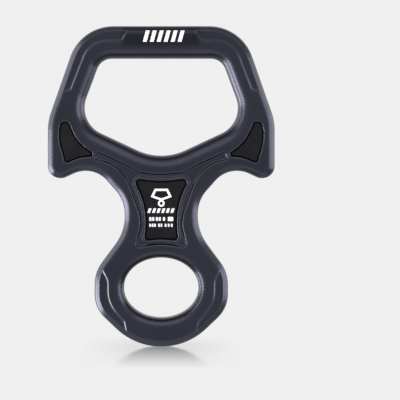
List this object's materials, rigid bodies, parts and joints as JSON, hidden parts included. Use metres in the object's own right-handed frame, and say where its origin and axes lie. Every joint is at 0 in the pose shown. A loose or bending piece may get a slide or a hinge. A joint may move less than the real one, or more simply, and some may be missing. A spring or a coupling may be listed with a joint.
{
  "type": "rope descender",
  "caption": "Forged aluminium figure-eight rescue descender: wide rope eye with rope-catching ears, narrow waist with a label pocket, and an oval attachment eye below.",
  "frame": {"origin": "centre of the oval attachment eye, in the mid plane of the forging", "axes": "+X across the ears to the viewer's right of the front face, +Y through the thickness away from the front face, +Z along the descender towards the rope eye"},
  "size_m": [0.08, 0.013, 0.113],
  "materials": {
    "anodised_body": "satin slate-blue anodised",
    "badge_black": "satin black domed label",
    "ear_inlay_black": "satin black",
    "adhesive": "translucent pressure-sensitive film",
    "print_white": "white pad printing"
  },
  "bodies": {
    "root": {"forged_body": "anodised_body", "front_badge": "badge_black", "rear_badge": "badge_black", "front_left_ear_inlay": "ear_inlay_black", "front_right_ear_inlay": "ear_inlay_black", "rear_left_ear_inlay": "ear_inlay_black", "rear_right_ear_inlay": "ear_inlay_black", "front_badge_film": "adhesive", "rear_badge_film": "adhesive", "front_left_ear_film": "adhesive", "front_right_ear_film": "adhesive", "rear_left_ear_film": "adhesive", "rear_right_ear_film": "adhesive"}
  },
  "joints": []
}
